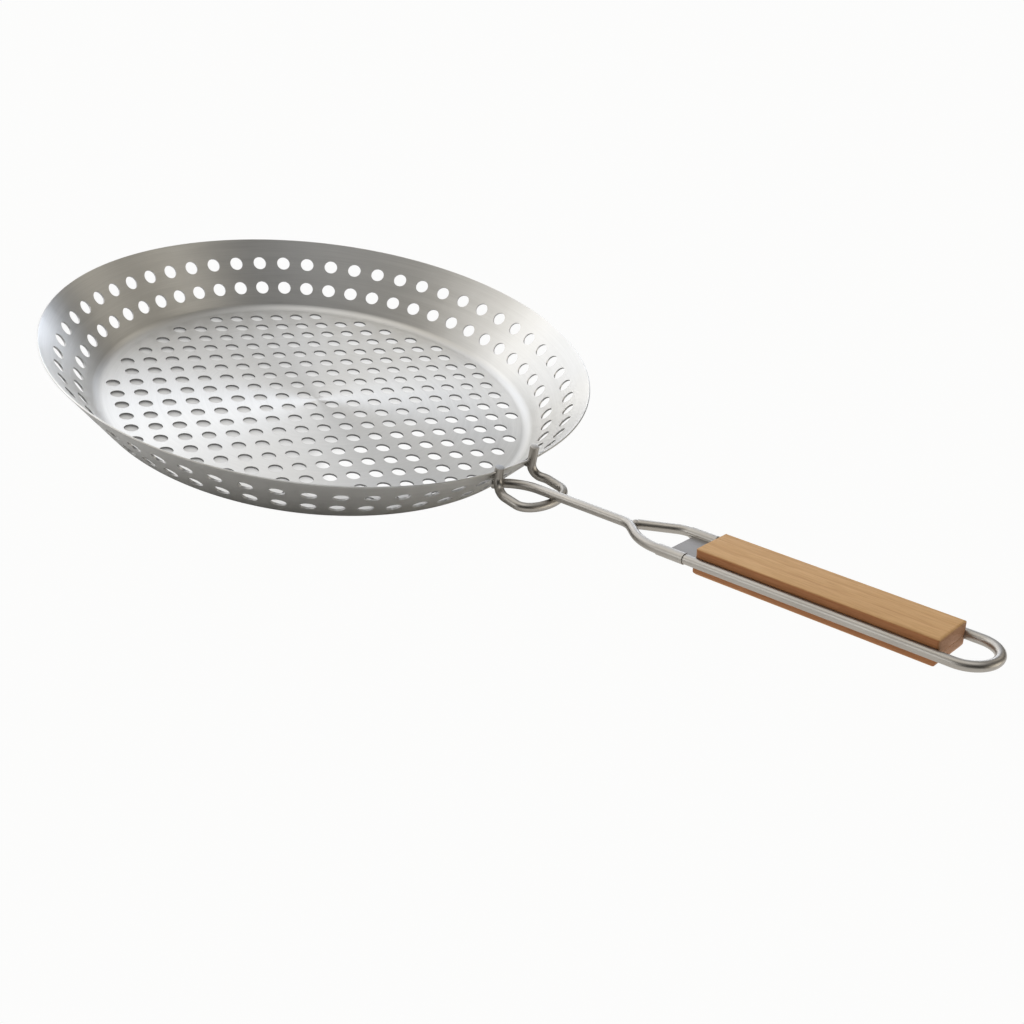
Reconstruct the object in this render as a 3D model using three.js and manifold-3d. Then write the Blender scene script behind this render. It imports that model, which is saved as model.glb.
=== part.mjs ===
// A perforated grill pan of stainless sheet with a long tip-up handle of bent wire and wood.
// Millimetres, +Z up. The origin is the middle of the pan's underside, and the handle runs along +X.
import * as THREE from "three";
import { mergeGeometries, mergeVertices } from "three/addons/utils/BufferGeometryUtils.js";
import Module from "manifold-3d";

const wasm = await Module();
wasm.setup();

// The pan's sheet
const SHEET = 1.0; // thickness
const RIM_DIAMETER = 305; // inside, at the top edge
const PAN_DEPTH = 35.6; // floor to rim, inside
const WALL_LEAN = 39.6; // degrees that the wall leans outwards from upright
const FLOOR_BEND = 8; // inside radius between floor and wall

// The round holes
const FLOOR_HOLE = 7.7;
const FLOOR_PITCH = 12.9; // square lattice, with sheet and no hole at the middle
const FLOOR_TURN = -22.3; // degrees from the handle to a row of the lattice
const FLOOR_MARGIN = 0.6; // flat sheet left outside the outermost holes
const WALL_HOLE = 8.2;
const WALL_PITCH = 15.4; // round the upper row
const WALL_TURN = 1.4; // degrees from the handle to the first hole
const RIM_BAND = 15.8; // sheet above the upper row's centres, measured down the wall
const ROW_PITCH = 16.1; // from row to row, measured down the wall
const HOLE_SIDES = 6;
const BEND_FACETS = 3; // from floor to wall

// The bracket: one wire, bent to an eye, with both legs let into the rim
const BRACKET_WIRE = 4.8;
const LEG_SPREAD = 24.8; // leg to leg, centre to centre
const LEG_ABOVE_RIM = { near: 4, far: 6.3 };
const EYE_BELOW_RIM = 9.8;
const EYE_REACH = 26.3; // legs to the eye's tip
const EYE_WIDTH = 32.7; // arm to arm, centre to centre
const EYE_NOSE = 8.6; // length of the eye's rounded end
const LEG_BEND = 6.7;
const ARM_BEND = 8;
const WELD_LEG = { across: 8.4, high: 5, deep: 7, belowRim: 4.6 };

// The handle's front wire, which hooks under the flared wall and rests on the eye
const ROD_WIRE = 4.8;
const HANDLE_RISE = 11.2; // degrees
const HOOK_BACK = 29.7; // seat on the eye to the hook's tip
const HOOK_JOG = 9.2; // sideways step before the tip turns square
const HOOK_SHORT = 1.2; // tip short of the near leg's centre
const HOOK_BENDS = { tip: 4.5, shank: 27 };
const FORK_START = 48.5; // seat to the parting of the two arms
const FORK_ROOT_BEND = 12;
const ARM_BENDS = { near: 10, far: 3.6 }; // length that each arm's last bend takes, both sides
const ARM_STRAIGHT = 0.6; // between that bend and the socket
const ARM_ROOT = { along: 3.6, aside: 2.2 }; // far arm's cut end, from the parting
const WELD_FORK = { along: 4.4, across: 4.4, high: 3.8 };

// The wire loop behind the fork, and the sheet tang with rolled sockets that joins the two
const LOOP_WIRE = 4.7;
const LOOP_WIDTH = 25.6; // leg to leg, centre to centre
const LOOP_TIP = 233.6; // seat to the hanging end
const TANG_SHEET = 0.5;
const SOCKET_START = 75.8;
const SOCKET_LENGTH = 15;
const SOCKET_SLIT = 14; // degrees left open where the roll meets the sheet
const TANG_SETBACK = 3.5; // sheet's front edge behind the sockets' ends
const TANG_TAIL = 60; // length inside the grip

// The grip: two wooden halves, screwed together from below
const GRIP_START = 93.7;
const GRIP_LENGTH = 120.5;
const GRIP_WIDTH = 24;
const GRIP_TOP = 6.6;
const GRIP_BOTTOM = 7.6;
const GRIP_CORNER = 2.5;
const UPPER_EDGE = 1.2;
const LOWER_EDGE = 4.2;
const LOWER_END = 5;
const SCREW_FROM_END = 22;
const SCREW = { shank: 3.6, head: 7.4, cone: 1.9, intoUpper: 3.6, sunk: 0.3, point: 2.4 };

const GAP = 0.3; // between pieces that touch
const SOCKET_GAP = 0.25;
const WIRE_SIDES = 12;
const BEND_STEP = 19; // degrees of bend for each ring of a wire

const STEEL = { color: 0xb4b1ab, roughness: 0.32, metalness: 1 };
const WIRE_STEEL = { color: 0x9b968e, roughness: 0.28, metalness: 1 };
const WELD_STEEL = { color: 0x7d766d, roughness: 0.5, metalness: 1 };
const WOOD = { color: 0xb8895c, roughness: 0.6, metalness: 0 };

const rad = THREE.MathUtils.degToRad;

// Places that several pieces share
const rimHeight = SHEET + PAN_DEPTH;
const rimRadius = RIM_DIAMETER / 2;
const legSide = LEG_SPREAD / 2;
const legX = Math.sqrt(rimRadius ** 2 - legSide ** 2);
const eyeHeight = rimHeight - EYE_BELOW_RIM;
const eyeTipX = legX + EYE_REACH;
const seatRise = (BRACKET_WIRE / 2 + ROD_WIRE / 2 + GAP) / Math.cos(rad(HANDLE_RISE));
const socketMiddle = SOCKET_START + SOCKET_LENGTH / 2;
const loopSide = LOOP_WIDTH / 2;
const socketBore = Math.max(ROD_WIRE, LOOP_WIRE) / 2 + SOCKET_GAP;
const gripEnd = GRIP_START + GRIP_LENGTH;
const screwPlaces = [GRIP_START + SCREW_FROM_END, gripEnd - SCREW_FROM_END];

// Solids, joined and cut
function solid(geometry) {
  const bare = geometry.clone();
  bare.deleteAttribute("normal");
  bare.deleteAttribute("uv");
  const merged = mergeVertices(bare, 1e-4);
  return new wasm.Manifold(
    new wasm.Mesh({
      numProp: 3,
      vertProperties: new Float32Array(merged.attributes.position.array),
      triVerts: new Uint32Array(merged.index.array),
    }),
  );
}

function surface(body) {
  const mesh = body.getMesh();
  const geometry = new THREE.BufferGeometry();
  geometry.setAttribute("position", new THREE.BufferAttribute(mesh.vertProperties, 3));
  geometry.setIndex(new THREE.BufferAttribute(mesh.triVerts, 1));
  return geometry;
}

// A many-sided bar with the same section area as the round one of that radius
function polygonRadius(radius, sides) {
  const turn = (2 * Math.PI) / sides;
  return radius * Math.sqrt(turn / Math.sin(turn));
}

function roundBar(radius, length, sides) {
  const corner = polygonRadius(radius, sides);
  const bar = new THREE.CylinderGeometry(corner, corner, length, sides);
  return bar.rotateX(Math.PI / 2);
}

function ellipsoid(size, place) {
  const ball = new THREE.SphereGeometry(0.5, 12, 8);
  return ball.scale(size.x, size.y, size.z).translate(place.x, place.y, place.z);
}

// A profile of radius and height, turned about the Z axis, with a facet's middle at startAngle
function turned(profile, sides, startAngle = 0) {
  const points = profile.map(([r, z]) => new THREE.Vector2(r, z));
  const start = startAngle + Math.PI / sides + Math.PI / 2;
  const lathe = new THREE.LatheGeometry(points, sides, start, 2 * Math.PI);
  return lathe.rotateX(Math.PI / 2);
}

// Points of an arc in a profile, from one angle to another in degrees
function arc(centre, radius, from, to, steps) {
  return Array.from({ length: steps + 1 }, (_, i) => {
    const angle = rad(from + ((to - from) * i) / steps);
    return [centre[0] + radius * Math.cos(angle), centre[1] + radius * Math.sin(angle)];
  });
}

// A wire's centre line: straight runs and bends, with one ring of the wire at each station
class WireRoute extends THREE.Curve {
  constructor(stations) {
    super();
    this.stations = stations;
  }
  getPoint(t) {
    const place = t * (this.stations.length - 1);
    const first = Math.min(Math.floor(place), this.stations.length - 2);
    const [a, b] = [this.stations[first].at, this.stations[first + 1].at];
    return a.clone().lerp(b, place - first);
  }
  getTangent(t) {
    return this.stations[Math.round(t * (this.stations.length - 1))].along.clone();
  }
  getUtoTmapping(u) {
    return u;
  }
}

// corners: [x, y, z], and for a bend also its radius, or the lengths that it takes on both sides
function wireRoute(corners) {
  const points = corners.map(([x, y, z]) => new THREE.Vector3(x, y, z));
  const stations = [];
  const last = points.length - 1;
  const along = (i) => points[i + 1].clone().sub(points[i]).normalize();
  stations.push({ at: points[0], along: along(0) });
  for (let i = 1; i < last; i++) {
    const [before, after] = [along(i - 1), along(i)];
    const angle = before.angleTo(after);
    const bend = corners[i][3];
    const reach = Array.isArray(bend) ? bend : [bend, bend].map((r) => r * Math.tan(angle / 2));
    const start = points[i].clone().addScaledVector(before, -reach[0]);
    const end = points[i].clone().addScaledVector(after, reach[1]);
    const pull = ((4 / 3) * Math.tan(angle / 4)) / Math.tan(angle / 2);
    const curve = new THREE.CubicBezierCurve3(
      start,
      start.clone().lerp(points[i], pull),
      end.clone().lerp(points[i], pull),
      end,
    );
    const rings = Math.ceil(THREE.MathUtils.radToDeg(angle) / BEND_STEP);
    for (let k = 0; k <= rings; k++) {
      stations.push({ at: curve.getPoint(k / rings), along: curve.getTangent(k / rings) });
    }
  }
  stations.push({ at: points[last], along: along(last - 1) });
  return new WireRoute(stations.filter((s, i) => !i || s.at.distanceTo(stations[i - 1].at) > 0.01));
}

function wire(corners, diameter, extra = 0) {
  const corner = polygonRadius(diameter / 2 + extra, WIRE_SIDES);
  const section = new THREE.Shape();
  for (let i = 0; i < WIRE_SIDES; i++) {
    const angle = ((i + 0.5) / WIRE_SIDES) * 2 * Math.PI;
    section[i ? "lineTo" : "moveTo"](corner * Math.cos(angle), corner * Math.sin(angle));
  }
  const route = wireRoute(corners);
  const steps = route.stations.length - 1;
  return new THREE.ExtrudeGeometry(section, { steps, extrudePath: route, curveSegments: 1 });
}

// An outline of rounded corners: [x, y, radius] for each corner, counter-clockwise
function roundedOutline(corners) {
  const shape = new THREE.Shape();
  const count = corners.length;
  corners.forEach(([x, y, radius], i) => {
    const at = new THREE.Vector2(x, y);
    const from = new THREE.Vector2(...corners[(i + count - 1) % count]);
    const to = new THREE.Vector2(...corners[(i + 1) % count]);
    const start = at.clone().add(from.sub(at).setLength(radius));
    const end = at.clone().add(to.sub(at).setLength(radius));
    shape[i ? "lineTo" : "moveTo"](start.x, start.y);
    if (radius > 0) shape.quadraticCurveTo(at.x, at.y, end.x, end.y);
  });
  return shape;
}

function slab(shape, low, high, curveSegments = 4) {
  const block = new THREE.ExtrudeGeometry(shape, {
    depth: high - low,
    bevelEnabled: false,
    curveSegments,
  });
  return block.translate(0, 0, low);
}

// The pan's sheet, as a profile of radius and height
const wallAngle = 90 - WALL_LEAN;
const slope = { r: Math.cos(rad(wallAngle)), z: Math.sin(rad(wallAngle)) };
const creaseRadius = rimRadius - (PAN_DEPTH * slope.r) / slope.z;
const bendRun = FLOOR_BEND * Math.tan(rad(wallAngle / 2));
const floorRadius = creaseRadius - bendRun;
const wallLength = PAN_DEPTH / slope.z - bendRun;
const holesRound = Math.round((2 * Math.PI * (rimRadius - RIM_BAND * slope.r)) / WALL_PITCH);
const facetTurn = (2 * Math.PI) / holesRound;

// The sheet's face at a depth: 0 is the inside, SHEET the outside, and more stands off it
function panFace(depth) {
  const bendCentre = [floorRadius, SHEET + FLOOR_BEND];
  return [
    ...arc(bendCentre, FLOOR_BEND + depth, -90, -90 + wallAngle, BEND_FACETS),
    [rimRadius + slope.z * depth, rimHeight - slope.r * depth],
  ];
}

// A corner of the turned sheet: the wall's facets lie behind the holes, so corners lie between
function corner([radius, height], k) {
  const angle = rad(WALL_TURN) + (k + 0.5) * facetTurn;
  return new THREE.Vector3(radius * Math.cos(angle), radius * Math.sin(angle), height);
}

function polygon(centre, diameter, sides) {
  const radius = polygonRadius(diameter / 2, sides);
  return Array.from({ length: sides }, (_, i) => {
    const angle = (2 * Math.PI * i) / sides;
    return new THREE.Vector2(radius * Math.cos(angle), radius * Math.sin(angle)).add(centre);
  });
}

// Holes of the floor: the lattice's places whose holes leave a margin of flat sheet
function floorHoles() {
  const reach = floorRadius - FLOOR_HOLE / 2 - FLOOR_MARGIN;
  const rows = Math.ceil(reach / FLOOR_PITCH);
  const holes = [];
  for (let i = -rows; i < rows; i++) {
    for (let j = -rows; j < rows; j++) {
      const place = new THREE.Vector2((i + 0.5) * FLOOR_PITCH, (j + 0.5) * FLOOR_PITCH);
      if (place.length() > reach) continue;
      place.rotateAround(new THREE.Vector2(), rad(FLOOR_TURN));
      holes.push(polygon(place, FLOOR_HOLE, HOLE_SIDES));
    }
  }
  return holes;
}

// Holes of one wall facet, in its own flat: X across it and Y up from the bend
function wallHoles() {
  const holes = [];
  for (let down = RIM_BAND; down < wallLength - WALL_HOLE / 2; down += ROW_PITCH) {
    holes.push(polygon(new THREE.Vector2(0, wallLength - down), WALL_HOLE, HOLE_SIDES));
  }
  return holes;
}

// A flat piece of sheet with holes: the outlines of its two faces, and where each face lies
function perforate(triangles, [insideOutline, outsideOutline], holes, [inside, outside]) {
  const fill = (outline, place, flip) => {
    const points = [outline, ...holes].flat();
    for (const [a, b, c] of THREE.ShapeUtils.triangulateShape(outline, holes)) {
      const corners = flip ? [a, c, b] : [a, b, c];
      triangles.push(...corners.map((i) => place(points[i])));
    }
  };
  fill(insideOutline, inside, false);
  fill(outsideOutline, outside, true);
  for (const hole of holes) {
    hole.forEach((from, i) => {
      const to = hole[(i + 1) % hole.length];
      quad(triangles, inside(from), inside(to), outside(to), outside(from));
    });
  }
}

function quad(triangles, a, b, c, d) {
  triangles.push(a, b, c, a, c, d);
}

// A facet between two rings of the turned sheet
function strip(triangles, from, to, k) {
  quad(triangles, corner(from, k), corner(to, k), corner(to, k + 1), corner(from, k + 1));
}

function perforatedPan() {
  const triangles = [];
  const [inner, outer] = [panFace(0), panFace(SHEET)];
  const rim = inner.length - 1;
  const flat = Array.from({ length: holesRound }, (_, k) => corner(inner[0], k));
  const floor = flat.map((p) => new THREE.Vector2(p.x, p.y));
  const level = (height) => (p) => new THREE.Vector3(p.x, p.y, height);
  perforate(triangles, [floor, floor], floorHoles(), [level(SHEET), level(0)]);
  for (let k = 0; k < holesRound; k++) {
    for (let i = 0; i < rim - 1; i++) {
      strip(triangles, inner[i], inner[i + 1], k);
      strip(triangles, outer[i + 1], outer[i], k);
    }
    wallFacet(triangles, inner.slice(rim - 1), outer.slice(rim - 1), k);
    strip(triangles, inner[rim], outer[rim], k);
  }
  return new THREE.BufferGeometry().setFromPoints(triangles);
}

// One facet of the wall, between two corners of the turned sheet
function wallFacet(triangles, inner, outer, k) {
  const frame = (face) => {
    const [low, high] = face.map((p) => corner(p, k).add(corner(p, k + 1)).divideScalar(2));
    const across = corner(face[0], k).sub(corner(face[0], k + 1)).normalize();
    const up = high.clone().sub(low).normalize();
    const place = (p) => low.clone().addScaledVector(across, p.x).addScaledVector(up, p.y);
    const half = face.map((p) => corner(p, k + 1).sub(corner(p, k)).length() / 2);
    const height = high.distanceTo(low);
    const outline = [[-half[0], 0], [half[0], 0], [half[1], height], [-half[1], height]];
    return { place, outline: outline.map(([x, y]) => new THREE.Vector2(x, y)) };
  };
  const faces = [frame(inner), frame(outer)];
  perforate(triangles, faces.map((f) => f.outline), wallHoles(), faces.map((f) => f.place));
}

// Each leg of the bracket sits in a round notch of the rim
function legNotches() {
  return [-1, 1].map((side) => {
    const notch = roundBar(BRACKET_WIRE / 2 + GAP, 2 * EYE_BELOW_RIM, WIRE_SIDES);
    return notch.translate(legX, side * legSide, rimHeight);
  });
}

function makePan() {
  return surface(solid(perforatedPan()).subtract(solid(mergeGeometries(legNotches()))));
}

// The bracket's wire, down one leg, round the eye and up the other leg
function bracketCorners() {
  const armStart = legX + LEG_BEND + 2;
  const half = (side, above) => [
    [legX, side * legSide, rimHeight + above],
    [legX, side * legSide, eyeHeight, LEG_BEND],
    [armStart, (side * EYE_WIDTH) / 2, eyeHeight, ARM_BEND],
  ];
  const nose = (side, reach) => [eyeTipX, (side * EYE_WIDTH) / 2, eyeHeight, reach];
  return [
    ...half(-1, LEG_ABOVE_RIM.near),
    nose(-1, [EYE_NOSE, EYE_WIDTH / 2]),
    nose(1, [EYE_WIDTH / 2, EYE_NOSE]),
    ...half(1, LEG_ABOVE_RIM.far).reverse(),
  ];
}

// A weld bead in the crook between a leg and the outside of the wall
function legWeld(side) {
  const size = { x: WELD_LEG.deep, y: WELD_LEG.across, z: WELD_LEG.high };
  const place = { x: legX - BRACKET_WIRE / 3, y: side * legSide, z: rimHeight - WELD_LEG.belowRim };
  const face = panFace(SHEET + GAP);
  const pan = turned([[0, face[0][1]], ...face, [0, rimHeight]], holesRound, rad(WALL_TURN));
  const leg = wire(bracketCorners(), BRACKET_WIRE, GAP);
  return surface(solid(ellipsoid(size, place)).subtract(solid(pan)).subtract(solid(leg)));
}

// The handle, in its own plane: X runs from its seat on the eye to the hanging end
function rodCorners() {
  const tipSide = HOOK_SHORT - legSide;
  return [
    [-HOOK_BACK, tipSide, 0],
    [-HOOK_BACK, -HOOK_JOG, 0, HOOK_BENDS.tip],
    [-HOOK_BACK + HOOK_JOG, 0, 0, HOOK_BENDS.shank],
    [FORK_START, 0, 0, FORK_ROOT_BEND],
    armShoulder(ARM_BENDS.near, -loopSide),
    [socketMiddle - GAP, -loopSide, 0],
  ];
}

// The last corner of a fork arm, which leaves it straight where it enters its socket
function armShoulder(bend, side) {
  return [SOCKET_START - ARM_STRAIGHT - bend, side, 0, [bend, bend]];
}

function farArmCorners(lead = 0) {
  return [
    [FORK_START + ARM_ROOT.along - lead, ARM_ROOT.aside, 0],
    armShoulder(ARM_BENDS.far, loopSide),
    [socketMiddle - GAP, loopSide, 0],
  ];
}

function loopCorners() {
  const start = socketMiddle + GAP;
  return [
    [start, -loopSide, 0],
    [LOOP_TIP, -loopSide, 0, [loopSide, loopSide]],
    [LOOP_TIP, loopSide, 0, [loopSide, loopSide]],
    [start, loopSide, 0],
  ];
}

function forkWeld() {
  const [x, y] = farArmCorners()[0];
  const size = { x: WELD_FORK.along, y: WELD_FORK.across, z: WELD_FORK.high };
  const bead = solid(ellipsoid(size, { x: x - BRACKET_WIRE / 4, y, z: 0 }));
  const rod = solid(wire(rodCorners(), ROD_WIRE, GAP));
  const arm = solid(wire(farArmCorners(GAP), ROD_WIRE, GAP));
  return surface(bead.subtract(rod).subtract(arm));
}

// The tang: a flat tongue whose front corners are rolled into sockets for the wires
function tangPlate() {
  const tailSide = loopSide - LOOP_WIRE / 2 - 3 * GAP;
  const joinSide = loopSide - socketBore - TANG_SHEET / 2;
  const front = SOCKET_START + TANG_SETBACK;
  const back = SOCKET_START + SOCKET_LENGTH;
  const tail = GRIP_START + TANG_TAIL;
  const outline = roundedOutline([
    [front, -joinSide, 0],
    [back, -joinSide, 0],
    [back, -tailSide, 0],
    [tail, -tailSide, 4],
    [tail, tailSide, 4],
    [back, tailSide, 0],
    [back, joinSide, 0],
    [front, joinSide, 0],
  ]);
  return slab(outline, -TANG_SHEET / 2, TANG_SHEET / 2);
}

function rolledSocket(side) {
  const slit = rad(SOCKET_SLIT);
  const roll = new THREE.Shape();
  roll.absarc(0, 0, socketBore + TANG_SHEET, slit, 2 * Math.PI, false);
  roll.absarc(0, 0, socketBore, 2 * Math.PI, slit, true);
  const tube = slab(roll, 0, SOCKET_LENGTH, WIRE_SIDES);
  tube.rotateX(Math.PI / 2).rotateZ(Math.PI / 2);
  if (side > 0) tube.rotateX(Math.PI);
  return tube.translate(SOCKET_START, side * loopSide, 0);
}

function makeTang() {
  let tang = solid(tangPlate());
  for (const side of [-1, 1]) tang = tang.add(solid(rolledSocket(side)));
  return surface(tang.subtract(screwHoles(SCREW.shank / 2 + GAP)));
}

function screwHoles(radius) {
  const bars = screwPlaces.map((x) => {
    const bar = roundBar(radius, GRIP_BOTTOM + SCREW.intoUpper + GAP, WIRE_SIDES);
    return bar.translate(x, 0, (SCREW.intoUpper + GAP - GRIP_BOTTOM) / 2);
  });
  return solid(mergeGeometries(bars));
}

// A countersunk screw, head down: [radius, height] from the head's face to the point
function screwProfile(extra) {
  const face = -GRIP_BOTTOM + SCREW.sunk;
  const [head, shank] = [SCREW.head / 2 + extra, SCREW.shank / 2 + extra];
  return [
    [0, face],
    [head, face],
    [shank, face + SCREW.cone],
    [shank, SCREW.intoUpper - SCREW.point + extra],
    [0, SCREW.intoUpper + extra],
  ];
}

// One half of the grip: its plan, its side view and its section, intersected
function gripHalf(low, high, edge, end) {
  const up = high > 0;
  const side = GRIP_WIDTH / 2;
  const [flat, crown] = up ? [low, high] : [high, low];
  const plan = roundedOutline([
    [GRIP_START, -side, GRIP_CORNER],
    [gripEnd, -side, GRIP_CORNER],
    [gripEnd, side, GRIP_CORNER],
    [GRIP_START, side, GRIP_CORNER],
  ]);
  const outline = (from, to, radius) => {
    const corners = [[from, flat, 0], [to, flat, 0], [to, crown, radius], [from, crown, radius]];
    return roundedOutline(up ? corners : corners.reverse());
  };
  const sideView = slab(outline(GRIP_START, gripEnd, end), -GRIP_WIDTH, GRIP_WIDTH);
  const section = slab(outline(-side, side, edge), GRIP_START, gripEnd);
  sideView.rotateX(Math.PI / 2);
  section.rotateX(Math.PI / 2).rotateZ(Math.PI / 2);
  return solid(slab(plan, low, high)).intersect(solid(sideView)).intersect(solid(section));
}

function gripCuts() {
  const loop = wire(loopCorners(), LOOP_WIRE, GAP);
  const tongueSide = loopSide - LOOP_WIRE / 2 - 2 * GAP;
  const tongueEnd = GRIP_START + TANG_TAIL + GAP;
  const pocket = new THREE.BoxGeometry(TANG_TAIL + 2 * GAP, 2 * tongueSide, TANG_SHEET + 2 * GAP);
  pocket.translate(tongueEnd - (TANG_TAIL + 2 * GAP) / 2, 0, 0);
  return [solid(loop), solid(pocket)];
}

function upperGrip() {
  let half = gripHalf(GAP / 2, GRIP_TOP, UPPER_EDGE, UPPER_EDGE);
  for (const cut of gripCuts()) half = half.subtract(cut);
  return surface(half.subtract(screwHoles(SCREW.shank / 2 + GAP)));
}

function lowerGrip() {
  let half = gripHalf(-GRIP_BOTTOM, -GAP / 2, LOWER_EDGE, LOWER_END);
  for (const cut of gripCuts()) half = half.subtract(cut);
  for (const x of screwPlaces) {
    const profile = screwProfile(GAP);
    const sink = [[0, -2 * GRIP_BOTTOM], [profile[1][0], -2 * GRIP_BOTTOM], ...profile.slice(1)];
    half = half.subtract(solid(turned(sink, WIRE_SIDES).translate(x, 0, 0)));
  }
  return surface(half);
}

// The assembly
function piece(name, geometry, finish) {
  const mesh = new THREE.Mesh(geometry, new THREE.MeshStandardMaterial(finish));
  mesh.name = name;
  return mesh;
}

const pan = new THREE.Group();
pan.add(
  piece("pan", makePan(), STEEL),
  piece("bracket", wire(bracketCorners(), BRACKET_WIRE), WIRE_STEEL),
  piece("near_leg_weld", legWeld(-1), WELD_STEEL),
  piece("far_leg_weld", legWeld(1), WELD_STEEL),
);

const handle = new THREE.Group();
handle.position.set(eyeTipX, 0, eyeHeight + seatRise);
handle.rotation.y = -rad(HANDLE_RISE);
handle.add(
  piece("handle_rod", wire(rodCorners(), ROD_WIRE), WIRE_STEEL),
  piece("fork_arm", wire(farArmCorners(), ROD_WIRE), WIRE_STEEL),
  piece("fork_weld", forkWeld(), WELD_STEEL),
  piece("tang", makeTang(), STEEL),
  piece("grip_loop", wire(loopCorners(), LOOP_WIRE), WIRE_STEEL),
  piece("upper_grip", upperGrip(), WOOD),
  piece("lower_grip", lowerGrip(), WOOD),
);
screwPlaces.forEach((x, i) => {
  const screw = piece(["front_screw", "rear_screw"][i], turned(screwProfile(0), WIRE_SIDES), STEEL);
  screw.position.x = x;
  handle.add(screw);
});

const grillPan = new THREE.Group();
grillPan.add(pan, handle);

export default grillPan;
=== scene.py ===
# %% [markdown]
# A perforated grill pan: a shallow pan of stainless sheet, full of round holes, with a wire bracket
# welded into its rim and a long handle of bent wire and wood that hooks into that bracket.
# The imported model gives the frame: every piece made here takes the place of one node of it, in
# metres, with +Z up and the origin in the middle of the pan's underside.

import math

import bpy
from mathutils import Matrix, Vector


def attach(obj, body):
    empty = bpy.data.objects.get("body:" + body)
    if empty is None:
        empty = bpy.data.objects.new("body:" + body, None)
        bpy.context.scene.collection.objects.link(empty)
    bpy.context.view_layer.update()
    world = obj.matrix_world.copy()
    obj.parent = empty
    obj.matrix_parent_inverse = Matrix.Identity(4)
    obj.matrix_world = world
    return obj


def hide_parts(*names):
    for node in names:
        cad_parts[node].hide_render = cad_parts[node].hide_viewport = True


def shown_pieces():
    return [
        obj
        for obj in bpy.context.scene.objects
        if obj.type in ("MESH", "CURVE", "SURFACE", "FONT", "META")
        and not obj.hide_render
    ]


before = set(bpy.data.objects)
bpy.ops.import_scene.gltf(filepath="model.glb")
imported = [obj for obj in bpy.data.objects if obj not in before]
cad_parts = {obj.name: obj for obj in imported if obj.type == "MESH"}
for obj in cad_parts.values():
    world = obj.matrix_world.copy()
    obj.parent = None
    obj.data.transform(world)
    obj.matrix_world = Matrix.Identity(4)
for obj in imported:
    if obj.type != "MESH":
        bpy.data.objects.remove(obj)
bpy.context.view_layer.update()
MM = 0.001
print("nodes:", ", ".join(sorted(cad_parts)))

# %% [markdown]
# The camera stands to the right of the pan's front and looks down at it. Its place, turn and lens
# come from fitting the rim, the two rows of wall holes and the floor's lattice. It is tilted
# sideways by about eleven degrees, as the handle running down to the right shows.

# %% The camera
CAMERA_PLACE = Vector((530.0, -479.7, 376.9)) * MM
CAMERA_LOOK = Vector((-0.5269, 0.6744, -0.5172))
CAMERA_TILT = 10.88
CAMERA_LENS = 48.52

bpy.ops.object.select_all(action="DESELECT")
bpy.ops.object.camera_add(location=CAMERA_PLACE)
camera = bpy.context.object
camera.name = "camera"
tilt = Matrix.Rotation(math.radians(CAMERA_TILT), 4, "Z")
look = CAMERA_LOOK.to_track_quat("-Z", "Y").to_matrix().to_4x4()
camera.rotation_euler = (look @ tilt).to_euler()
camera.data.lens = CAMERA_LENS
camera.data.sensor_width = 36
camera.data.clip_start = 0.01
camera.data.clip_end = 100
bpy.context.scene.camera = camera
print("camera at", tuple(round(c, 3) for c in CAMERA_PLACE))

# %% [markdown]
# Helpers for modelling. Blender's operators act on what is selected, so one helper selects a single
# object, and two more go into edit mode and choose faces or edges there by their place.


# %% Select an object, and parts of it
def only(obj):
    bpy.ops.object.select_all(action="DESELECT")
    obj.select_set(True)
    bpy.context.view_layer.objects.active = obj
    return obj


def edit(obj, mode="FACE"):
    """Sets what a pick chooses, faces or edges, and clears what was chosen before."""
    only(obj)
    bpy.ops.object.mode_set(mode="EDIT")
    bpy.ops.mesh.select_mode(type=mode)
    bpy.ops.mesh.select_all(action="DESELECT")
    bpy.ops.object.mode_set(mode="OBJECT")


def pick(obj, kind, test):
    """Selects the faces, edges or vertices of obj whose middle passes the test, for edit mode."""
    mesh = obj.data
    for item in getattr(mesh, kind):
        if kind == "vertices":
            place = item.co
        elif kind == "edges":
            place = (mesh.vertices[item.vertices[0]].co + mesh.vertices[item.vertices[1]].co) / 2
        else:
            place = item.center
        item.select = bool(test(item, place))
    bpy.ops.object.mode_set(mode="EDIT")


def done():
    bpy.ops.object.mode_set(mode="OBJECT")


# %% [markdown]
# A modifier is applied as soon as it is set, so that the next step works on its result. A finished
# piece has its place in its mesh and its object at the origin. Faces that meet at less than the
# smoothing angle are shaded as one surface, and a bevel takes the edges that are sharper than SHARP.

# %% Apply, join and settle
SHARP = math.radians(60)
SMOOTH = 35
SMOOTH_WIDE = 50


def modify(obj, kind, **settings):
    """Adds a modifier and applies it at once."""
    only(obj)
    modifier = obj.modifiers.new(kind.lower(), kind)
    for key, value in settings.items():
        setattr(modifier, key, value)
    bpy.ops.object.modifier_apply(modifier=modifier.name)
    return obj


def settle(obj, name, smooth=SMOOTH):
    """Puts the object's place, turn and size into its mesh, names it and smooths its faces."""
    only(obj)
    bpy.ops.object.transform_apply(location=True, rotation=True, scale=True)
    bpy.ops.object.shade_smooth_by_angle(angle=math.radians(smooth))
    obj.name = obj.data.name = name
    return obj


def tidy_normals(obj):
    """Merges points that lie double and turns all faces outwards."""
    edit(obj)
    bpy.ops.object.mode_set(mode="EDIT")
    bpy.ops.mesh.select_all(action="SELECT")
    bpy.ops.mesh.remove_doubles(threshold=1e-6)
    bpy.ops.mesh.normals_make_consistent(inside=False)
    bpy.ops.object.mode_set(mode="OBJECT")
    return obj


def joined(parts):
    bpy.ops.object.select_all(action="DESELECT")
    for part in parts:
        part.select_set(True)
    bpy.context.view_layer.objects.active = parts[0]
    bpy.ops.object.join()
    return parts[0]


def faces_of(obj):
    return f"{obj.name}: {len(obj.data.polygons)} faces"


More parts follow.
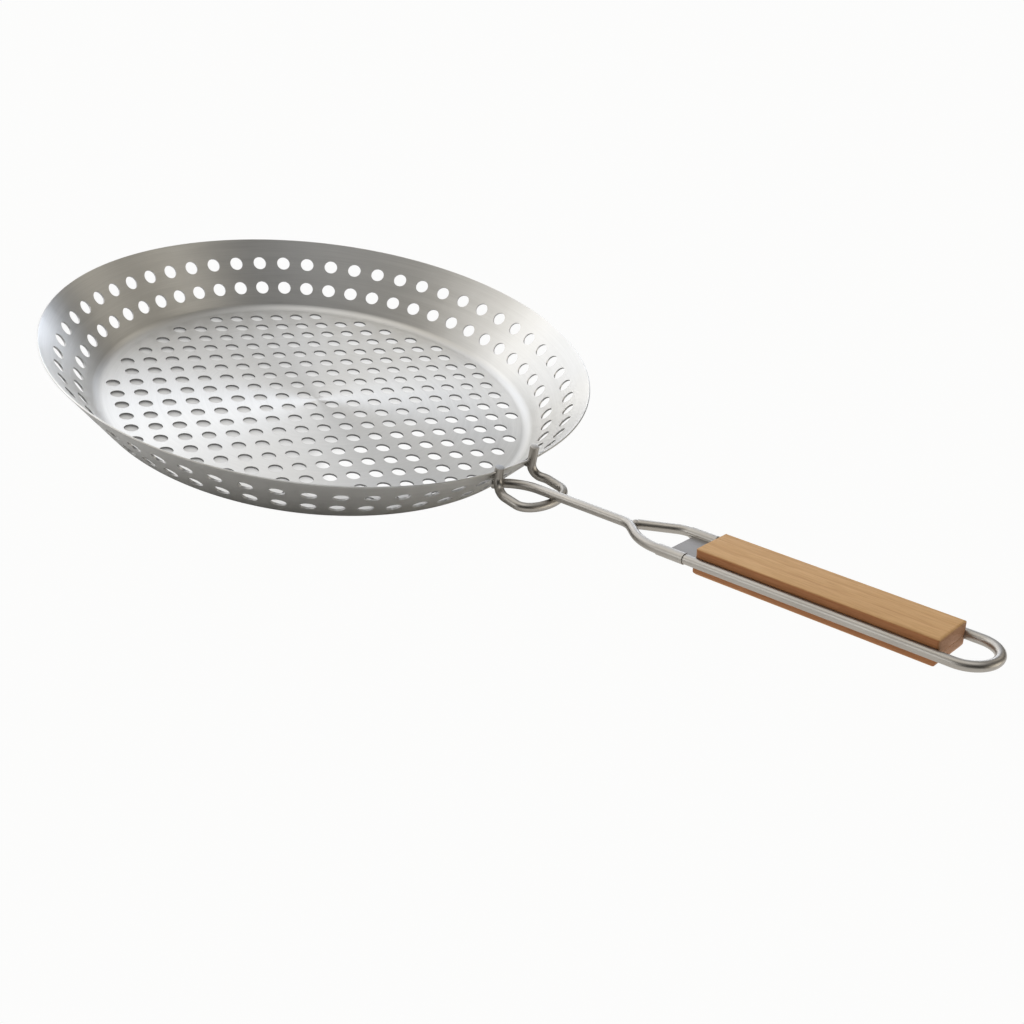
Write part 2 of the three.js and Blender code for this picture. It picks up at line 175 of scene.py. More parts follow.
def bevel_edges(obj, width, steps, angle=SHARP):
    """Rounds the sharp edges by a width in mm."""
    width = width * MM
    return modify(obj, "BEVEL", width=width, segments=steps, limit_method="ANGLE", angle_limit=angle)


# %% [markdown]
# The pan is one disc of 1 mm sheet, pressed to a shallow cone, with its holes punched in it. Here
# the whole section of the sheet, with its thickness, is drawn as a closed line of edges and spun
# about the pan's axis. Then one joined set of round punches is cut out of it. Sizes are in mm.

# %% The pan's sizes
SHEET = 1.0
RIM_RADIUS = 152.5
RIM_EDGE = 0.25
RIM_CORNERS = (0.2, 0.8)
PAN_DEPTH = 35.6
WALL_ANGLE = 50.4
FLOOR_BEND = 8.0
BEND_STEPS = 8
FLOOR_RINGS = (40, 80)
RIM_HEIGHT = SHEET + PAN_DEPTH
SPIN_STEPS = 232

slope = Vector((math.cos(math.radians(WALL_ANGLE)), 0, math.sin(math.radians(WALL_ANGLE))))
crease = RIM_RADIUS - PAN_DEPTH * slope.x / slope.z
flat_radius = crease - FLOOR_BEND * math.tan(math.radians(WALL_ANGLE / 2))
print(f"flat floor to r = {flat_radius:.2f} mm, crease at {crease:.2f} mm")


# %% [markdown]
# A line starts as a plane that is merged to a single point. The point is moved to its place and
# then extruded from one corner to the next, as one would click a profile by hand.


# %% A line of edges, extruded from point to point
def polyline(points):
    bpy.ops.object.select_all(action="DESELECT")
    bpy.ops.mesh.primitive_plane_add(size=0.001, location=(0, 0, 0))
    obj = bpy.context.object
    bpy.ops.object.mode_set(mode="EDIT")
    bpy.ops.mesh.select_mode(type="VERT")
    bpy.ops.mesh.merge(type="CENTER")
    bpy.ops.transform.translate(value=Vector(points[0]) * MM)
    for before, after in zip(points, points[1:]):
        step = (Vector(after) - Vector(before)) * MM
        bpy.ops.mesh.extrude_region_move(TRANSFORM_OT_translate={"value": step})
    bpy.ops.object.mode_set(mode="OBJECT")
    return obj


def arc_points(centre, radius, start, end, steps):
    """Points of an arc in the XZ plane, angles in degrees."""
    angles = [math.radians(start + (end - start) * i / steps) for i in range(steps + 1)]
    return [(centre[0] + radius * math.cos(a), 0, centre[1] + radius * math.sin(a)) for a in angles]


def bend_arc(more):
    """The inside of the bend between floor and wall, or an arc that lies further out by more."""
    centre = (flat_radius, SHEET + FLOOR_BEND)
    return arc_points(centre, FLOOR_BEND + more, -90, -90 + WALL_ANGLE, BEND_STEPS)


def section_of_sheet():
    """The closed section of the pan's sheet, from the middle of the floor to the rim and back."""
    through = Vector((slope.z, 0, -slope.x))
    rim = Vector((RIM_RADIUS, 0, RIM_HEIGHT))
    inside = (RIM_RADIUS - RIM_EDGE * slope.x, 0, RIM_HEIGHT - RIM_EDGE * slope.z)
    outside = rim + through * SHEET - slope * RIM_EDGE
    edge = [inside, *(tuple(rim + through * share) for share in RIM_CORNERS), tuple(outside)]
    upper = [(0.0, 0, SHEET), *((r, 0, SHEET) for r in FLOOR_RINGS)]
    lower = [*((r, 0, 0) for r in FLOOR_RINGS[::-1]), (0.0, 0, 0)]
    return [*upper, *bend_arc(0), *edge, *bend_arc(SHEET)[::-1], *lower]


# %% [markdown]
# Spin turns the line about the axis in equal steps. The points on the axis and the two ends of the
# turn then lie double, so they are merged, and the normals are made to point outwards.


# %% Spin the section
def spun(points, steps, name):
    obj = polyline(points)
    only(obj)
    bpy.ops.object.mode_set(mode="EDIT")
    bpy.ops.mesh.select_all(action="SELECT")
    bpy.ops.mesh.spin(steps=steps, angle=math.tau, center=(0, 0, 0), axis=(0, 0, 1), dupli=False)
    bpy.ops.object.mode_set(mode="OBJECT")
    tidy_normals(obj)
    edit(obj)
    bpy.ops.object.mode_set(mode="EDIT")
    bpy.ops.mesh.select_all(action="SELECT")
    bpy.ops.mesh.dissolve_degenerate(threshold=1e-7)
    bpy.ops.object.mode_set(mode="OBJECT")
    obj.name = obj.data.name = name
    return obj


pan = spun(section_of_sheet(), SPIN_STEPS, "grill_pan")
print(faces_of(pan))

# %% [markdown]
# The floor's holes stand on a square lattice that is turned a little from the handle, and the wall
# has two rows of 58 holes, one above the other. A hole is left out where it would reach the bend.

# %% The holes' places
FLOOR_HOLE = 7.7
FLOOR_PITCH = 12.9
FLOOR_TURN = -22.3
FLOOR_MARGIN = 0.6
LATTICE = range(-10, 10)
WALL_HOLE = 8.2
WALL_TURN = 1.4
WALL_HOLES_ROUND = 58
ROWS_BELOW_RIM = (15.8, 31.9)


def floor_places():
    reach = flat_radius - FLOOR_HOLE / 2 - FLOOR_MARGIN
    turn = Matrix.Rotation(math.radians(FLOOR_TURN), 4, "Z")
    places = []
    for i in LATTICE:
        for j in LATTICE:
            spot = Vector(((i + 0.5) * FLOOR_PITCH, (j + 0.5) * FLOOR_PITCH, SHEET / 2))
            if spot.xy.length < reach:
                places.append(Matrix.Translation(turn @ spot))
    return places


def wall_places():
    places = []
    for k in range(WALL_HOLES_ROUND):
        round_z = Matrix.Rotation(math.radians(WALL_TURN + 360 * k / WALL_HOLES_ROUND), 4, "Z")
        for down in ROWS_BELOW_RIM:
            spot = Vector((RIM_RADIUS, 0, RIM_HEIGHT)) - slope * down
            lean = Matrix.Rotation(math.radians(-WALL_ANGLE), 4, "Y")
            places.append(round_z @ Matrix.Translation(spot) @ lean)
    return places


print(len(floor_places()), "floor holes,", len(wall_places()), "wall holes")

# %% [markdown]
# A punch is a round bar. It is modelled once for each kind of hole and copied to every place, and
# all copies are joined to a single cutter, because one cut with many bars is much faster.

# %% The punches, joined to one cutter
HOLE_SIDES = 28
FLOOR_PUNCH_LENGTH = 6
WALL_PUNCH_LENGTH = 7


def round_bar(diameter, deep, place=(0, 0, 0), sides=32):
    """An upright bar to cut a round hole with, in mm."""
    bpy.ops.mesh.primitive_cylinder_add(
        vertices=sides, radius=diameter / 2 * MM, depth=deep * MM, location=Vector(place) * MM
    )
    return only(bpy.context.object)


def punches(diameter, deep, places):
    first = round_bar(diameter, deep, sides=HOLE_SIDES)
    copies = []
    for place in places:
        copy = first.copy()
        copy.data = first.data.copy()
        copy.data.transform(Matrix.Translation(place.translation * MM) @ place.to_3x3().to_4x4())
        bpy.context.collection.objects.link(copy)
        copies.append(copy)
    bpy.data.objects.remove(first)
    return joined(copies)


def cut(obj, cutter, solver="EXACT"):
    modify(obj, "BOOLEAN", object=cutter, operation="DIFFERENCE", solver=solver)
    bpy.data.objects.remove(cutter)
    return obj


floor_punches = punches(FLOOR_HOLE, FLOOR_PUNCH_LENGTH, floor_places())
wall_punches = punches(WALL_HOLE, WALL_PUNCH_LENGTH, wall_places())
cut(pan, joined([floor_punches, wall_punches]), "MANIFOLD")
print(faces_of(pan))

# %% [markdown]
# Each leg of the bracket stands in a half-round notch of the rim, which two short bars cut out.
# The holes' edges are eased a little by a bevel along every sharp edge, which gives each hole the
# fine bright line that punched sheet shows. Weighted normals keep the flat sheet flat round them.

# %% The notches and the eased edges
BRACKET_WIRE = 4.8
LEG_SIDE = 12.4
LEG_X = math.sqrt(RIM_RADIUS**2 - LEG_SIDE**2)
EYE_BELOW_RIM = 9.8
EYE_HEIGHT = RIM_HEIGHT - EYE_BELOW_RIM
NOTCH_PLAY = 0.3
EDGE_EASE = 0.25

for side in (-1, 1):
    place = (LEG_X, side * LEG_SIDE, RIM_HEIGHT)
    bar = round_bar(BRACKET_WIRE + 2 * NOTCH_PLAY, 2 * EYE_BELOW_RIM, place)
    cut(pan, bar, "MANIFOLD")
bevel_edges(pan, EDGE_EASE, 2)
settle(pan, "grill_pan", SMOOTH_WIDE)
modify(pan, "WEIGHTED_NORMAL", mode="FACE_AREA", keep_sharp=True)
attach(pan, "pan_body")
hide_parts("pan")
print(faces_of(pan))

# %% [markdown]
# The handle lies on the bracket's eye and rises from there. Its pieces are drawn level, with this
# seat as their origin, because straight runs are easy to place so. Each finished piece is then
# turned and moved to the seat.

# %% Where the handle rests
HANDLE_RISE = 11.2
EYE_REACH = 26.3
EYE_TIP_X = LEG_X + EYE_REACH
ROD_WIRE = 4.8
SEAT_PLAY = 0.3
SEAT_RISE = (BRACKET_WIRE / 2 + ROD_WIRE / 2 + SEAT_PLAY) / math.cos(math.radians(HANDLE_RISE))
HANDLE_SEAT = Vector((EYE_TIP_X, 0, EYE_HEIGHT + SEAT_RISE))
on_handle = Matrix.Translation(HANDLE_SEAT * MM) @ Matrix.Rotation(-math.radians(HANDLE_RISE), 4, "Y")
on_table = Matrix.Identity(4)
print("the handle rests on the eye at", tuple(round(c, 1) for c in HANDLE_SEAT))

# %% [markdown]
# The wires are drawn stainless rod, bent cold. A bend is a soft curve between two straight runs, so
# each wire is a Bezier curve: it is laid point by point, its handles are set to the bends, and a
# round section is swept along it. A small bevel breaks the edges of the cut ends. First the corners
# are turned to stations: a bend starts and ends where the straight runs touch its arc.

# %% The stations of a bent wire
TOUCHING = 0.01


def bend_stations(corners):
    """Points of a wire, each with its curve handles before and after. After its place, a corner
    gives its bend: a radius, or how far the bend reaches before and after the corner."""
    points = [Vector(c[:3]) for c in corners]
    stations = [(points[0], None, None)]
    for i in range(1, len(points) - 1):
        before = (points[i] - points[i - 1]).normalized()
        after = (points[i + 1] - points[i]).normalized()
        angle = before.angle(after)
        bend = corners[i][3]
        reach = bend if isinstance(bend, tuple) else (bend * math.tan(angle / 2),) * 2
        pull = (4 / 3) * math.tan(angle / 4) / math.tan(angle / 2)
        start, end = points[i] - before * reach[0], points[i] + after * reach[1]
        stations.append((start, None, start.lerp(points[i], pull)))
        stations.append((end, end.lerp(points[i], pull), None))
    stations.append((points[-1], None, None))
    return without_doubles(stations)


def without_doubles(stations):
    """Where one bend ends at the place where the next starts, the two stations become one."""
    kept = [stations[0]]
    for point, before, after in stations[1:]:
        if (point - kept[-1][0]).length < TOUCHING:
            kept[-1] = (kept[-1][0], kept[-1][1], after)
        else:
            kept.append((point, before, after))
    return kept


# %% [markdown]
# The curve's points and handles come from the stations. Converted to a mesh, the wire can be cut,
# bevelled and given faces of more than one finish.

# %% Lay a wire along its corners
WIRE_END_EASE = 0.35
WIRE_ROUNDNESS = 12
BEND_SMOOTHNESS = 14


def wire(name, corners, diameter, frame_at=on_table, end_ease=WIRE_END_EASE):
    stations = bend_stations(corners)
    bpy.ops.object.select_all(action="DESELECT")
    bpy.ops.curve.primitive_bezier_curve_add(enter_editmode=True)
    bpy.ops.curve.select_all(action="SELECT")
    bpy.ops.curve.delete(type="VERT")
    for point, _, _ in stations:
        bpy.ops.curve.vertex_add(location=point * MM)
    bpy.ops.object.mode_set(mode="OBJECT")
    curve = bpy.context.object
    spline = curve.data.splines[0]
    for i, (bezier, (point, before, after)) in enumerate(zip(spline.bezier_points, stations)):
        bezier.handle_left_type = bezier.handle_right_type = "FREE"
        previous = stations[max(i - 1, 0)][0]
        following = stations[min(i + 1, len(stations) - 1)][0]
        bezier.co = point * MM
        bezier.handle_left = (before or point.lerp(previous, 1 / 3)) * MM
        bezier.handle_right = (after or point.lerp(following, 1 / 3)) * MM
    curve.data.bevel_depth = diameter / 2 * MM
    curve.data.bevel_resolution = WIRE_ROUNDNESS
    curve.data.resolution_u = BEND_SMOOTHNESS
    curve.data.use_fill_caps = True
    curve.matrix_world = frame_at
    only(curve)
    bpy.ops.object.convert(target="MESH")
    obj = bpy.context.object
    tidy_normals(obj)
    if end_ease:
        bevel_edges(obj, end_ease, 3)
    return settle(obj, name)


# %% [markdown]
# The bracket is one wire: down one leg in the rim's notch, round a wide eye, and up the other leg,
# which is a little longer. The eye's front is drawn out to a soft nose, on which the handle rests.

# %% The bracket
NEAR_LEG_TOP = RIM_HEIGHT + 1.5
FAR_LEG_TOP = RIM_HEIGHT + 6.3
LEG_BEND = 6.7
ARM_BEND = 8
ARM_START = LEG_X + LEG_BEND + 2
EYE_SIDE = 32.7 / 2
NOSE_REACH = 8.6
LEG_END_EASE = 1.3


def bracket_corners():
    near = [
        (LEG_X, -LEG_SIDE, NEAR_LEG_TOP),
        (LEG_X, -LEG_SIDE, EYE_HEIGHT, LEG_BEND),
        (ARM_START, -EYE_SIDE, EYE_HEIGHT, ARM_BEND),
        (EYE_TIP_X, -EYE_SIDE, EYE_HEIGHT, (NOSE_REACH, EYE_SIDE)),
    ]
    far = [
        (EYE_TIP_X, EYE_SIDE, EYE_HEIGHT, (EYE_SIDE, NOSE_REACH)),
        (ARM_START, EYE_SIDE, EYE_HEIGHT, ARM_BEND),
        (LEG_X, LEG_SIDE, EYE_HEIGHT, LEG_BEND),
        (LEG_X, LEG_SIDE, FAR_LEG_TOP),
    ]
    return near + far


bracket = wire("bracket_wire", bracket_corners(), BRACKET_WIRE, end_ease=LEG_END_EASE)
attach(bracket, "pan_body")
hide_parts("bracket")
print(faces_of(bracket))

# %% [markdown]
# The handle's front wire ends in a hook that turns under the flared wall. Behind, it swings out to
# one arm of a fork. The other arm is a short wire of its own, welded to it at the parting. Both
# arms, and the ends of the long hanging loop, stand in rolled sockets of a sheet tang. All of this
# is drawn level from the seat on the eye, and then lifted to the handle's slope.

# %% The handle's lengths, from the seat on the eye
LOOP_WIRE = 4.7
LOOP_SIDE = 12.8
LOOP_TIP = 233.6
HOOK_X = -29.7
HOOK_TIP_Y = 2.6 - LEG_SIDE
HOOK_BEND_Y = -9.2
HOOK_BEND = 4.5
SWING_START = -20.5
SWING_BEND = 27
FORK_START = 48.5
FORK_BEND = 12
ARM_ROOT = (FORK_START + 3.6, 2.2)
ROD_SHOULDER = 10
ARM_SHOULDER = 3.6
SOCKET_START = 75.8
SOCKET_LENGTH = 15
SOCKET_MIDDLE = SOCKET_START + SOCKET_LENGTH / 2
WIRE_GAP = 0.3


def arm_shoulder(bend, side):
    return (SOCKET_START - 2 * WIRE_GAP - bend, side, 0, (bend, bend))


# %% [markdown]
# Each wire is a short list of corners, with the bend at each. The rod and the loop run on inside
# the sockets and meet there, a hair apart, and the loop's two round bends make its end a half ring.

# %% The handle's wires
rod_corners = [
    (HOOK_X, HOOK_TIP_Y, 0),
    (HOOK_X, HOOK_BEND_Y, 0, HOOK_BEND),
    (SWING_START, 0, 0, SWING_BEND),
    (FORK_START, 0, 0, FORK_BEND),
    arm_shoulder(ROD_SHOULDER, -LOOP_SIDE),
    (SOCKET_MIDDLE - WIRE_GAP, -LOOP_SIDE, 0),
]
arm_corners = [
    (*ARM_ROOT, 0),
    arm_shoulder(ARM_SHOULDER, LOOP_SIDE),
    (SOCKET_MIDDLE - WIRE_GAP, LOOP_SIDE, 0),
]
loop_corners = [
    (SOCKET_MIDDLE + WIRE_GAP, -LOOP_SIDE, 0),
    (LOOP_TIP, -LOOP_SIDE, 0, (LOOP_SIDE, LOOP_SIDE)),
    (LOOP_TIP, LOOP_SIDE, 0, (LOOP_SIDE, LOOP_SIDE)),
    (SOCKET_MIDDLE + WIRE_GAP, LOOP_SIDE, 0),
]
for node, corners, diameter in (
    ("handle_rod", rod_corners, ROD_WIRE),
    ("fork_arm", arm_corners, ROD_WIRE),
    ("grip_loop", loop_corners, LOOP_WIRE),
):
    piece = wire(node + "_wire", corners, diameter, on_handle)
    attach(piece, "handle")
    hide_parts(node)
    print(faces_of(piece))

# %% [markdown]
# The welds are small beads of melted steel. A bead starts as a ball, is pulled to its size, and a
# cloud texture pushes its surface in and out a little. It is then cut back to the sheet and wires
# that it joins.

# %% A bead of weld
RIPPLE_SIZE = 1.6
RIPPLE_HEIGHT = 0.3
RIPPLE_MIDDLE = 0.55


def bead(name, size, place, frame_at=on_table):
    bpy.ops.object.select_all(action="DESELECT")
    bpy.ops.mesh.primitive_ico_sphere_add(subdivisions=5, radius=0.5)
    obj = only(bpy.context.object)
    bpy.ops.object.mode_set(mode="EDIT")
    bpy.ops.transform.resize(value=Vector(size) * MM)
    bpy.ops.transform.translate(value=Vector(place) * MM)
    bpy.ops.object.mode_set(mode="OBJECT")
    clouds = bpy.data.textures.new(name + "_ripple", "CLOUDS")
    clouds.noise_scale = RIPPLE_SIZE * MM
    ripple = {"texture": clouds, "strength": RIPPLE_HEIGHT * MM, "mid_level": RIPPLE_MIDDLE}
    modify(obj, "DISPLACE", texture_coords="LOCAL", **ripple)
    obj.matrix_world = frame_at
    return settle(obj, name)


# %% [markdown]
# A bead lies where a leg crosses the wall from outside. The wall itself is full of holes, so the
# bead is cut with a plain solid of the pan's outer shape, a hair larger, and with a thicker leg.

# %% The beads at the bracket's legs
HAIR = 0.06
LEG_BEAD = (6.0, 6.2, 3.0)
LEG_BEAD_IN = 1.6
LEG_BEAD_DOWN = 4.6


def wall_filler(clear):
    """All that lies inside the pan's outer face, as a solid that is larger by a hair."""
    rim = Vector((RIM_RADIUS, 0, RIM_HEIGHT)) + Vector((slope.z, 0, -slope.x)) * (SHEET + clear)
    profile = [(0, 0, -clear), *bend_arc(SHEET + clear), tuple(rim), (0, 0, rim.z)]
    return spun(profile, SPIN_STEPS, "wall_filler")


for side, name in ((-1, "near_leg_weld"), (1, "far_leg_weld")):
    place = (LEG_X - LEG_BEAD_IN, side * LEG_SIDE, RIM_HEIGHT - LEG_BEAD_DOWN)
    lump = bead(name + "_bead", LEG_BEAD, place)
    cut(lump, wall_filler(HAIR))
    cut(lump, wire("leg_cutter", bracket_corners(), BRACKET_WIRE + 2 * HAIR, end_ease=0))
    settle(lump, name + "_bead", SMOOTH_WIDE)
    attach(lump, "pan_body")
    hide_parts(name)
    print(faces_of(lump))

# %% [markdown]
# The fork's bead fills the corner between the rod and the arm that starts there. The arm that cuts
# it starts a tenth of a millimetre sooner, so that it clears the arm's cut end too.

# %% The bead at the fork
FORK_BEAD = (4.4, 4.4, 3.8)
FORK_BEAD_BACK = 1.2
arm_start = (ARM_ROOT[0] - 0.1, ARM_ROOT[1], 0)
lump = bead("fork_weld_bead", FORK_BEAD, (ARM_ROOT[0] - FORK_BEAD_BACK, ARM_ROOT[1], 0), on_handle)
for name, corners in (("rod_cutter", rod_corners), ("arm_cutter", [arm_start, *arm_corners[1:]])):
    cut(lump, wire(name, corners, ROD_WIRE + 2 * HAIR, on_handle, end_ease=0))
settle(lump, "fork_weld_bead", SMOOTH_WIDE)
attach(lump, "handle")
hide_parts("fork_weld")
print(faces_of(lump))

# %% [markdown]
# The tang is one cut of thin sheet. Its two sides are rolled round the wires to sockets, each with a
# narrow slit where the roll meets the flat. The section is drawn as a line, drawn out to the
# sockets' length, given a tail, and then thickened.

# %% The tang's section
TANG_SHEET = 0.32
SOCKET_PLAY = 0.05
SOCKET_BORE = ROD_WIRE / 2 + SOCKET_PLAY
ROLL = SOCKET_BORE + TANG_SHEET / 2
ROLL_SLIT = 14
ROLL_STEPS = 30
TAIL_PLAY = 0.9
TAIL_SIDE = LOOP_SIDE - LOOP_WIRE / 2 - TAIL_PLAY
TAIL_IN_GRIP = 60
GRIP_START = 93.7
GRIP_LENGTH = 120.5
GRIP_WIDTH = 24
TAIL_END = GRIP_START + TAIL_IN_GRIP


def rolled_line():
    """From the near roll's slit, round the roll, over the flat, and round the far roll."""
    turn = (360 - ROLL_SLIT) / ROLL_STEPS
    angles = [math.radians(ROLL_SLIT + turn * i) for i in range(ROLL_STEPS + 1)]
    near = [(SOCKET_START, -LOOP_SIDE + ROLL * math.cos(a), ROLL * math.sin(a)) for a in angles]
    far = [(SOCKET_START, LOOP_SIDE - ROLL * math.cos(a), -ROLL * math.sin(a)) for a in angles[::-1]]
    return [*near, (SOCKET_START, -TAIL_SIDE, 0), (SOCKET_START, TAIL_SIDE, 0), *far]


# %% [markdown]
# The line is extruded to the sockets' length, and the flat part between the rolls once more to the
# tail that lies in the grip. Solidify then gives the sheet its thickness to both sides of the line.

# %% The tang
tang = polyline(rolled_line())
only(tang)
bpy.ops.object.mode_set(mode="EDIT")
bpy.ops.mesh.select_all(action="SELECT")
bpy.ops.mesh.extrude_region_move(TRANSFORM_OT_translate={"value": (SOCKET_LENGTH * MM, 0, 0)})
bpy.ops.object.mode_set(mode="OBJECT")
edit(tang, "EDGE")
back = (SOCKET_START + SOCKET_LENGTH) * MM
pick(tang, "edges", lambda e, p: abs(p.x - back) < 1e-6 and abs(p.y) < 1e-4 and abs(p.z) < 1e-6)
bpy.ops.mesh.extrude_region_move(TRANSFORM_OT_translate={"value": (TAIL_END * MM - back, 0, 0)})
done()
tidy_normals(tang)
modify(tang, "SOLIDIFY", thickness=TANG_SHEET * MM, offset=0)

# %% [markdown]
# Between the sockets, the front edge of the flat is cut back, and a hole lets the front screw pass.

# %% The tang's front edge and screw hole
TANG_EASE = 0.1
NOTCH_DEPTH = 3.5
NOTCH_FROM_ROLL = 0.35
NOTCH_TALL = 4
SCREW_HOLE = 4.2
SCREW_HOLE_TALL = 10
SCREW_FROM_END = 22
SCREW_PLACES = (GRIP_START + SCREW_FROM_END, GRIP_START + GRIP_LENGTH - SCREW_FROM_END)

notch_side = LOOP_SIDE - ROLL - NOTCH_FROM_ROLL
bpy.ops.mesh.primitive_cube_add(size=1)
notch = only(bpy.context.object)
notch.scale = Vector((2 * NOTCH_DEPTH, 2 * notch_side, NOTCH_TALL)) * MM
notch.location = (SOCKET_START * MM, 0, 0)
settle(notch, "notch")
cut(tang, notch)
cut(tang, round_bar(SCREW_HOLE, SCREW_HOLE_TALL, (SCREW_PLACES[0], 0, 0)))
bevel_edges(tang, TANG_EASE, 1)
tang.matrix_world = on_handle
settle(tang, "tang_sheet")
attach(tang, "handle")
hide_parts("tang")
print(faces_of(tang))

# %% [markdown]
# The grip is two strips of wood with the loop and the tang's tail between them, screwed together
# from below. Each half is a block with its corners rounded in plan, met by two more blocks that are
# rounded along the crown and at its ends. Grooves for the wires and the tail are then cut out of it.

# %% A block with some of its edges rounded
ROUNDING_STEPS = 7


def block(low, high, rounded=()):
    """A block from corner to corner. rounded gives radii, each with the test of the edges it takes."""
    size = Vector(high) - Vector(low)
    middle = (Vector(high) + Vector(low)) / 2
    bpy.ops.object.select_all(action="DESELECT")
    bpy.ops.mesh.primitive_cube_add(size=1)
    obj = only(bpy.context.object)
    obj.scale = size * MM
    obj.location = middle * MM
    bpy.ops.object.transform_apply(location=True, rotation=True, scale=True)
    for radius, test in rounded:
        edit(obj, "EDGE")
        pick(obj, "edges", lambda e, p: test(p / MM - middle))
        bpy.ops.mesh.bevel(offset=radius * MM, segments=ROUNDING_STEPS, affect="EDGES")
        done()
    return obj


# %% [markdown]
# A bevel on all edges at once would pinch the corners. Three blocks with a few rounded edges each
# meet cleanly instead, as a plane and a file would shape the wood one face after the other.

# %% A half of the grip
GRIP_END = GRIP_START + GRIP_LENGTH
GRIP_TOP = 6.6
GRIP_BOTTOM = 7.6
FRONT_CORNER = 2.8
REAR_CORNER = 1.3
ENDWAYS = 50
SIDEWAYS = 10
UPWAYS = 2


def grip_half(start, low, high, edge, end, crown):
    """edge and end round the crown along its sides and at its ends. crown: 1 above, -1 below."""
    side = GRIP_WIDTH / 2
    corners = (start, -side, low), (GRIP_END, side, high)
    front = (FRONT_CORNER, lambda p: p.x < -ENDWAYS and abs(p.y) > SIDEWAYS)
    rear = (REAR_CORNER, lambda p: p.x > ENDWAYS and abs(p.y) > SIDEWAYS)
    plan = block(*corners, [front, rear])
    along = block(*corners, [(edge, lambda p: abs(p.y) > SIDEWAYS and p.z * crown > UPWAYS)])
    ends = block(*corners, [(end, lambda p: abs(p.x) > ENDWAYS and p.z * crown > UPWAYS)])
    for other in (along, ends):
        modify(plan, "BOOLEAN", object=other, operation="INTERSECT", solver="MANIFOLD")
        bpy.data.objects.remove(other)
    return plan


# %% [markdown]
# The upper half has small roundings and starts a little later than the lower one, whose crown is
# well rounded for the hand. The groove's cutter is the loop itself, a little thicker.

# %% The two halves with their grooves
GROOVE_PLAY = 0.2
POCKET_SIDE = TAIL_SIDE + GROOVE_PLAY
POCKET_UP = 0.45
HALF_UP = 0.1
UPPER_LATE = 1.4


def grip_cutters():
    groove = wire("groove", loop_corners, LOOP_WIRE + 2 * GROOVE_PLAY, end_ease=0)
    low = (GRIP_START - 1, -POCKET_SIDE, -POCKET_UP)
    high = (TAIL_END + 0.3, POCKET_SIDE, POCKET_UP)
    return groove, block(low, high)


upper = grip_half(GRIP_START + UPPER_LATE, HALF_UP, GRIP_TOP, edge=1.4, end=1.6, crown=1)
lower = grip_half(GRIP_START, -GRIP_BOTTOM, -HALF_UP, edge=4.2, end=5, crown=-1)
for half in (upper, lower):
    for cutter in grip_cutters():
        cut(half, cutter, "MANIFOLD")
print(faces_of(upper), "|", faces_of(lower))

# %% [markdown]
# Two countersunk screws hold the halves. A screw is spun from its section and gets a cross recess
# in its head, and the lower half gets a countersink that the head just clears.

# %% A screw
HEAD_INSIDE = 0.3
SCREW_FACE = -GRIP_BOTTOM + HEAD_INSIDE
SCREW_STEPS = 48
HEAD_RADIUS = 3.7
HEAD_DEPTH = 1.9
HEAD_EDGE_IN = 0.3
HEAD_EDGE_UP = 0.15
SHANK_RADIUS = 1.8
SHANK_TOP = 1.2
POINT_TOP = 3.6
RECESS = (0.75, 4.0)
RECESS_DEPTH = 0.9
BELOW_GRIP = -20


def screw_solid(name, x, extra=0.0, recess=True):
    """A screw that points up. With extra room and no recess, it is the cutter of its countersink."""
    head = HEAD_RADIUS + extra
    shank = SHANK_RADIUS + extra
    start = [(0, 0, SCREW_FACE), (head - HEAD_EDGE_IN, 0, SCREW_FACE)]
    if not recess:
        start = [(0, 0, BELOW_GRIP), (head, 0, BELOW_GRIP)]
    cone = [(head, 0, SCREW_FACE + HEAD_EDGE_UP), (shank, 0, SCREW_FACE + HEAD_DEPTH)]
    point = [(shank, 0, SHANK_TOP + extra), (0, 0, POINT_TOP + extra)]
    obj = spun([*start, *cone, *point], SCREW_STEPS, name)
    if recess:
        for wide, long in (RECESS, RECESS[::-1]):
            low = (-wide / 2, -long / 2, SCREW_FACE - 1)
            high = (wide / 2, long / 2, SCREW_FACE + RECESS_DEPTH)
            cut(obj, block(low, high))
    obj.location = (x * MM, 0, 0)
    return obj


# %% [markdown]
# The same section, a tenth of a millimetre larger, cuts the countersink, so head and wood can't
# touch. The upper half gets a plain hole for the screw's end.

# %% The screws and their holes
PILOT_HOLE = 3.8
PILOT_DEPTH = 7.8
SINK_PLAY = 0.1
SCREW_EASE = 0.08

for name, x in zip(("front_screw", "rear_screw"), SCREW_PLACES):
    cutter = screw_solid("countersink", x, SINK_PLAY, False)
    settle(cutter, "countersink")
    cut(lower, cutter, "MANIFOLD")
    cut(upper, round_bar(PILOT_HOLE, PILOT_DEPTH, (x, 0, 0), SCREW_STEPS), "MANIFOLD")
    screw = screw_solid(name + "_steel", x)
    bevel_edges(screw, SCREW_EASE, 1)
    settle(screw, name + "_steel")
    screw.matrix_world = on_handle
    settle(screw, name + "_steel")
    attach(screw, "handle")
    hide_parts(name)
    print(faces_of(screw))

# %% [markdown]
# With all cuts made, a fine bevel eases the wood's sharp edges, the mouths of its holes too.

# %% Ease the wood and set it on the handle
WOOD_EASE = 0.25
WOOD_SHARP = math.radians(50)

for half, node in ((upper, "upper_grip"), (lower, "lower_grip")):
    bevel_edges(half, WOOD_EASE, 2, WOOD_SHARP)
    half.matrix_world = on_handle
    settle(half, node + "_wood")
    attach(half, "handle")
    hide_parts(node)
    print(faces_of(half))

# %% [markdown]
# Materials are made of nodes. A small helper adds a node, sets it up and joins its inputs, so that
# each finish below reads as a short list: where the pattern lies, how it varies, and what it
# changes in the shader.


